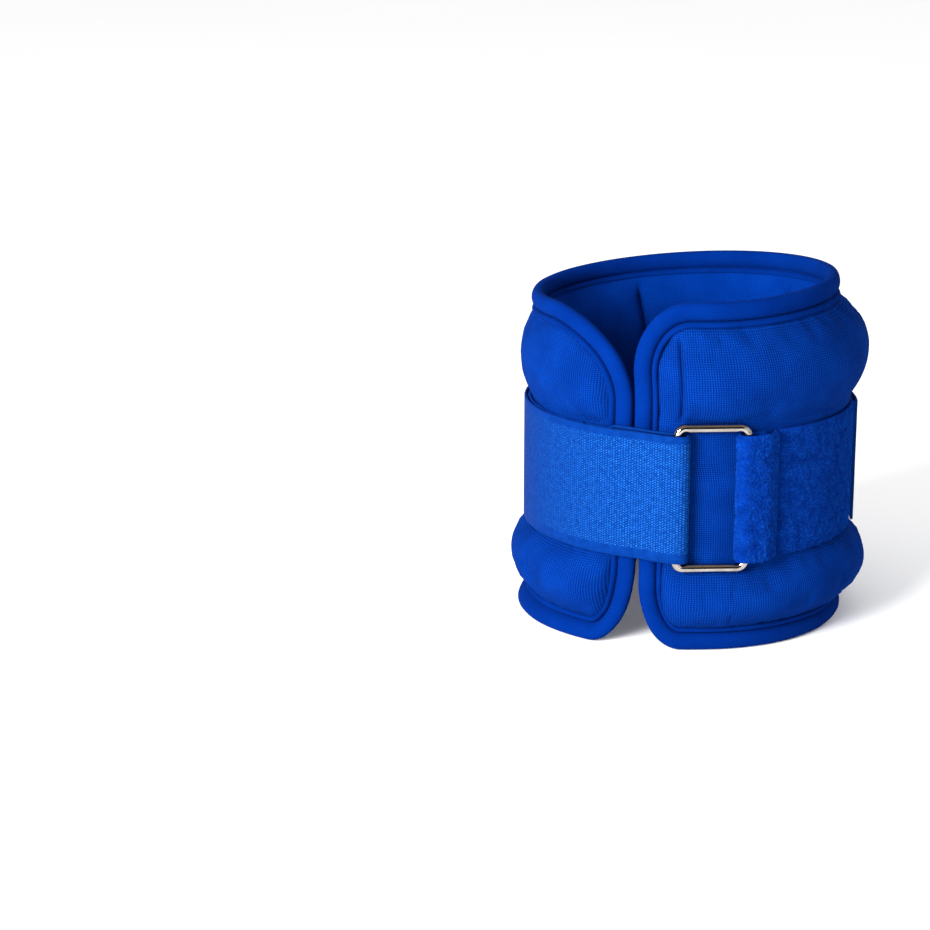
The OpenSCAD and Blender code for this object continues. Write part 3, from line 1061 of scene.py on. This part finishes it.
go = np.arange(root_angle, turn_angle - 0.5, 0.5)
back_over = np.arange(turn_angle - 0.5, first_hinge, -0.5)
round_it = np.arange(first_hinge, tail_angle - 0.01, -0.5)
first_pass = plan(go, under_mid + (bar_r - strap_turn - under_mid) * ease(go / turn_angle))
second_pass = plan(back_over, wrap_mid + (bar_r + strap_turn - wrap_mid) * ease(back_over / turn_angle))
wraps = plan(round_it, wrap_mid + tail_lift * ease((tail_angle + 13 - round_it) / 13))
strap_line = np.vstack([first_pass, half_turn(turn_angle, strap_turn, 1, 0, 181), second_pass, wraps])
strap_walk = walk(strap_line)
wrap_start = strap_walk[-len(wraps)]
wrap_walk = strap_walk[-len(wraps):]


def walked_to(angle):
    """How far along the strap the wrapped part reaches a given angle."""
    return float(np.interp(-angle, -round_it, wrap_walk))


print("the strap is", round(strap_walk[-1]), "mm long,", round(wrap_start), "of it before the first hinge")

# %% Strap front: root, first pass, fold and second pass
first_pass_rise = 1.2


def front_lift(distance):
    """The first pass lies a little higher than the second, as webbing does when it is pulled to one side."""
    gone = strap_walk[len(first_pass)]
    sewn = strap_walk[int((first_hinge - root_angle) * 2)]
    return first_pass_rise * ease((gone - distance) / gone * 1.6) * ease((distance - sewn) / 3)


strap_front = band("hook_strap_front", strap_line, (0, wrap_start), 1, strap_w, strap_t, lift=front_lift)
dress_strap(strap_front)
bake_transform(strap_front)
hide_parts("strap_front", "strap_root")
print("strap front:", len(strap_front.data.polygons), "faces")

# %% Wrapped stretches, each round one hinge
halfway = [first_hinge] + [h + wrap_step / 2 for h in hinges[:5]] + [tail_angle]


def saw_cut(height):
    """Hook tape is cut with a toothed blade: the tail's end is a row of small teeth."""
    tooth = 2.6
    return 0.8 * (np.abs((height / tooth) % 1 - 0.5) * 2 - 1)


for k in range(6):
    stretch = (walked_to(halfway[k]), walked_to(halfway[k + 1]))
    last = k == 5
    cut = saw_cut if last else None
    piece = band(f"hook_strap_{k + 1}", strap_line, stretch, 1, strap_w, strap_t, cut=cut)
    dress_strap(piece)
    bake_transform(piece)
    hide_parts("strap_tail" if last else f"strap_wrap_{k + 1}")

# %% [markdown]
# ## The loop tape and its tab
# The tape is sewn down all round the valley. Its front end is folded round the ring's right bar and
# stitched back on itself, which makes the thick tab beside the ring, with a deep crease at the seam.

# %% Loop tape
tape_mid = valley_r + 0.1 + tape_t / 2
tab_turn = wire_r + bar_clear + tape_t / 2
tab_foot = 49.3
tape_from = 51.5
tape_end = 339.4
under_tab = np.arange(tab_foot - 4, bar_right + 0.5, -0.5)
over_tab = np.arange(bar_right + 0.5, tape_from, 0.5)
tape_round = np.arange(tape_from, tape_end, 0.5)
tab_top = bar_r + tab_turn
slope_over, foot_over, seam_deep = 11.5, 1.6, 1.5
tab_drop = (tab_top - tape_mid - tape_t) * ease((over_tab - bar_right - 1) / slope_over) ** 2
tab_drop = tab_drop + tape_t * ease((over_tab - tab_foot + 1.4) / foot_over)
tab_drop = tab_drop + seam_deep * np.exp(-(((over_tab - tab_foot - 0.7) / 0.8) ** 2))
tape_line = np.vstack([
    plan(under_tab, tape_mid),
    half_turn(bar_right, tab_turn, -1, 0, 181),
    plan(over_tab, tab_top - tab_drop),
    plan(tape_round, tape_mid),
])
tape_walk = walk(tape_line)
pile_from = tape_walk[len(under_tab)]
tape_seen = tape_walk[-len(tape_round)]


def pile_finish(name, ground, tips, size):
    """Tangled loops: bright tips with a painted highlight over a dark ground in painted shade."""
    f = Finish(name, roughness=0.95, specular=0.012, sheen=0.03)
    along, across, where = f.cloth_place()
    tangle = f.speckle(where, size, 4.0)
    patches = f.speckle(where, 4.5, 3.0)
    # Colour follows the relief: a painted highlight on the loop tips and painted shade in the ground between them.
    share = f.between(f.calc("ADD", tangle, f.calc("MULTIPLY", patches, 0.6)), 0.62, 1.05)
    f.colour(f.mix(share, ground, tips))
    f.relief(f.calc("ADD", tangle, f.calc("MULTIPLY", patches, 0.5)), 0.6, 0.9)
    return f


# The second colour of each is the painted highlight on the tips.
loop_ground = pile_finish("loop_ground", (0.0003, 0.0095, 0.105), (0.0008, 0.029, 0.25), 0.5)
loop_yarn = pile_finish("loop_yarn", (0.0005, 0.018, 0.175), (0.004, 0.070, 0.42), 1.2)
tape = band("loop_tape_band", tape_line, (0, tape_walk[-1]), -1, strap_w, tape_t, step=0.9)
dress(tape, loop_ground)
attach(tape, "cuff")
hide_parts("loop_tape")
print("tape:", round(tape_walk[-1]), "mm long,", len(tape.data.polygons), "faces")

# %% [markdown]
# The pile is what gives loop tape its look: thousands of tiny tangled loops of yarn. Hair curves would
# be lighter, but they don't survive as a mesh, so each loop is a little bent tube. Where the strap lies
# on the tape the loops are pressed flat, and where the tape shows they stand up.

# %% Loops of yarn
dice = np.random.default_rng(7)


def pile(name, stretch, count, height, yarn_d=0.13, bends=5, sides=3):
    """Loops of yarn scattered over a stretch of the tape."""
    distance = dice.uniform(*stretch, count)
    across = dice.uniform(-strap_w / 2 + 0.5, strap_w / 2 - 0.5, count)
    where, face = on_line(tape_line, distance, -1)
    root = np.concatenate([where + face * (tape_t / 2 - 0.1), (strap_mid + across)[:, None]], -1)
    out = np.concatenate([face, np.zeros((count, 1))], -1)
    ahead = np.stack([-face[:, 1], face[:, 0], 0 * across], -1)
    upright = np.array([0.0, 0.0, 1.0])
    turn = dice.uniform(0, np.pi, count)[:, None]
    reach = dice.uniform(0.35, 0.75, count)[:, None]
    tall = height * dice.uniform(0.5, 1.0, count)[:, None]
    lie = np.cos(turn) * ahead + np.sin(turn) * upright
    tip = out + dice.normal(0, 0.45, (count, 1)) * np.cross(lie, out)
    bow = np.radians(np.linspace(0, 180, bends))
    centre = root[:, None] + reach[:, None] * np.cos(bow)[:, None] * lie[:, None]
    centre = centre + tall[:, None] * np.sin(bow)[:, None] * tip[:, None]
    flank = np.cross(lie, out)
    ring = np.radians(np.arange(sides) * 360 / sides)
    rib = np.cos(bow)[:, None, None] * lie[:, None, None] + np.sin(bow)[:, None, None] * out[:, None, None]
    ribs = np.cos(ring)[:, None] * rib + np.sin(ring)[:, None] * flank[:, None, None]
    points = centre[:, :, None] + yarn_d / 2 * ribs
    one = []
    for i in range(bends - 1):
        for k in range(sides):
            a, b = i * sides + k, i * sides + (k + 1) % sides
            one.append([a, b, b + sides, a + sides])
    ends = [list(range(sides)), [(bends - 1) * sides + k for k in reversed(range(sides))]]
    base = np.arange(count)[:, None, None] * bends * sides
    faces = (base + np.array(one)[None]).reshape(-1, 4).tolist()
    faces = faces + (base + np.array(ends)[None]).reshape(-1, sides).tolist()
    mesh = bpy.data.meshes.new(name)
    mesh.from_pydata((points.reshape(-1, 3) * MM).tolist(), [], faces)
    layer = mesh.uv_layers.new(name="cloth_mm")
    owner = np.zeros(len(mesh.loops), int)
    mesh.loops.foreach_get("vertex_index", owner)
    owner //= bends * sides
    layer.data.foreach_set("uv", np.stack([distance[owner], across[owner]], -1).astype(np.float32).ravel())
    mesh.shade_smooth()
    loops = bpy.data.objects.new(name, mesh)
    scene.collection.objects.link(loops)
    dress(loops, loop_yarn)
    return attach(loops, "cuff")


tail_reach = tape_seen + math.radians(360 + tail_angle - tape_from) * tape_mid + 2
standing = pile("loop_pile_standing", (pile_from - 1, tail_reach), 12000, 0.75)
pressed = pile("loop_pile_pressed", (tail_reach, tape_walk[-1] - 1), 10000, 0.28)
print("loops:", len(standing.data.polygons), "faces standing,", len(pressed.data.polygons), "pressed")


# %% Seams of the tab and of the strap's root
def upright_seam(name, angles, radius, replaced, pitch=3.4, length=2.4):
    """Rows of stitches that run up the band at the given angles."""
    z = np.arange(strap_low + 3, strap_high - 4, pitch)
    angle, height = [v.ravel() for v in np.meshgrid(angles, z)]
    start, end = around(angle, radius, height), around(angle, radius, height + length)
    piece = stitches(name, start, end, around(angle, 1.0, 0 * height), 0.6)
    dress(piece, dark_thread)
    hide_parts(replaced)
    print(name, len(z) * len(angles), "stitches")
    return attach(piece, "cuff")


upright_seam("tab_seam", [tab_foot + 0.5, tab_foot + 1.0], tape_mid + tape_t / 2 - 1.3, "tab_stitching")
upright_seam("anchor_seam", [-13.0, -15.5, -18.0], under_mid + strap_t / 2 - 0.05, "anchor_stitching")

# %% [markdown]
# ## The wire ring
# The ring is hard and its CAD shape is right, so it stays. It gets a bright nickel finish with a faint
# grain and small dull patches, as plated wire has after some use.

# %% Ring finish
nickel = Finish("ring_nickel", roughness=0.13, specular=0.5, metallic=1.0, tint=(1, 1, 1))
coords = nickel.nodes.new("ShaderNodeTexCoord").outputs["Object"]
worn = nickel.speckle(coords, 0.004, 4.0)
nickel.colour(nickel.mix(nickel.between(worn, 0.35, 0.75), (0.40, 0.365, 0.33), (0.27, 0.245, 0.22)))
nickel.wire(nickel.shader.inputs["Roughness"], nickel.between(worn, 0.3, 0.8, 0.08, 0.24))
nickel.relief(nickel.speckle(coords, 0.0006, 2.0), 0.01, 0.3)
ring = frame["nodes"]["rectangle_ring"]
dress(ring, nickel)
print("ring:", len(ring.data.polygons), "faces, kept from the frame")

# %% [markdown]
# ## What is inside
# Five flat bags of coated nylon lie side by side round the cuff, each with its fill of iron sand. They
# don't show when the cuff is closed, but they are what makes it heavy, so they are made as well: soft
# pillows between the cover and the lining, with the sand a size smaller inside.

# %% Bags and sand
def nylon_finish():
    f = Finish("bag_nylon", roughness=0.5, specular=0.4, tint=(1, 1, 1))
    along, across, where = f.cloth_place()
    warp = f.calc("SINE", f.calc("MULTIPLY", along, 9.0))
    weft = f.calc("SINE", f.calc("MULTIPLY", across, 9.0))
    weave = f.calc("MULTIPLY", warp, weft)
    f.colour(f.mix(f.between(weave, -1, 1), (0.08, 0.08, 0.09), (0.15, 0.15, 0.16)))
    f.relief(weave, 0.08)
    return f


def sand_finish():
    f = Finish("iron_sand", roughness=0.45, specular=0.5, tint=(1, 1, 1))
    where = f.cloth_place()[2]
    grains = f.nodes.new("ShaderNodeTexVoronoi")
    f.wire(grains.inputs["Vector"], where)
    grains.inputs["Scale"].default_value = 1.6
    f.colour(f.mix(grains.outputs["Distance"], (0.16, 0.145, 0.13), (0.04, 0.036, 0.034)))
    f.relief(f.calc("SUBTRACT", 1.0, grains.outputs["Distance"]), 0.4)
    return f


bag_gap = 1.5
least_thick = 0.6
sand_inset, sand_uneven = 1.2, 0.15
bag_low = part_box("weight_pouch_2")[0].z / MM
bag_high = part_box("weight_pouch_2")[1].z / MM


def square(wave):
    """Makes a sine wave squarer, so that a pillow's section is fuller than an oval."""
    return np.sign(wave) * np.abs(wave) ** 0.45


def pillow(name, first_edge, last_edge, inset, uneven_by):
    """A soft closed pillow between the two skins, from one angle to the next going left."""
    low, high = bag_low + inset, bag_high - inset
    turn = np.linspace(0, 2 * np.pi, 48, endpoint=False)
    across = np.linspace(-0.5, 0.5, 44)
    full = np.sqrt(np.clip(1 - (2 * np.abs(across)) ** 4, 0, 1))
    full[[0, -1]] = 0.12
    centre = (along_at(-first_edge) + along_at(-last_edge)) / 2
    half = (last_edge - first_edge) * math.radians(mid_r) / 2 - bag_gap - inset
    up = (low + high) / 2 + (high - low) / 2 * square(np.sin(turn)) + 0 * across[:, None]
    along = centre + 2 * half * across[:, None] + 0 * up
    outer = cover_height(along, np.clip(up, low, high), 0.85) - skin_t - least_thick - inset
    inner = lining_height(along, np.clip(up, low, high)) + skin_t + least_thick + inset
    middle, thick = (outer + inner) / 2, np.maximum((outer - inner) / 2, least_thick)
    end = np.clip(1 - np.abs((up - (low + high) / 2) / ((high - low) / 2)) ** 8, 0.05, 1)
    out = middle + thick * full[:, None] * end * square(np.cos(turn)) + uneven_by * swell(along * 4, up * 4)
    uv = np.stack(np.broadcast_arrays(along[:, :1] + 0 * np.arange(49), np.arange(49) * 4.6), -1)
    return grid_piece(name, place(along, up, out), uv, close_cols=True, caps=True)


nylon, sand = nylon_finish(), sand_finish()
for k in range(5):
    bag = pillow(f"sand_bag_{k + 1}", bag_edges[k], bag_edges[k + 1], 0.0, 0.0)
    dress(bag, nylon)
    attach(bag, "cuff")
    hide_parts(f"weight_pouch_{k + 1}")
    fill = pillow(f"sand_fill_{k + 1}", bag_edges[k], bag_edges[k + 1], sand_inset, sand_uneven)
    dress(fill, sand)
    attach(fill, "cuff")
    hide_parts(f"iron_sand_{k + 1}")
print("5 bags with their sand")

# %% Floor finish
floor_finish = Finish("white_floor", roughness=0.9, specular=0.0, tint=(1, 1, 1))
floor_place = floor_finish.nodes.new("ShaderNodeTexCoord").outputs["Object"]
paint = floor_finish.mix(floor_finish.speckle(floor_place, 0.3), (0.93, 0.93, 0.93), (0.95, 0.95, 0.95))
floor_finish.colour(paint)
floor.data.materials.append(floor_finish.material)
print("floor painted")
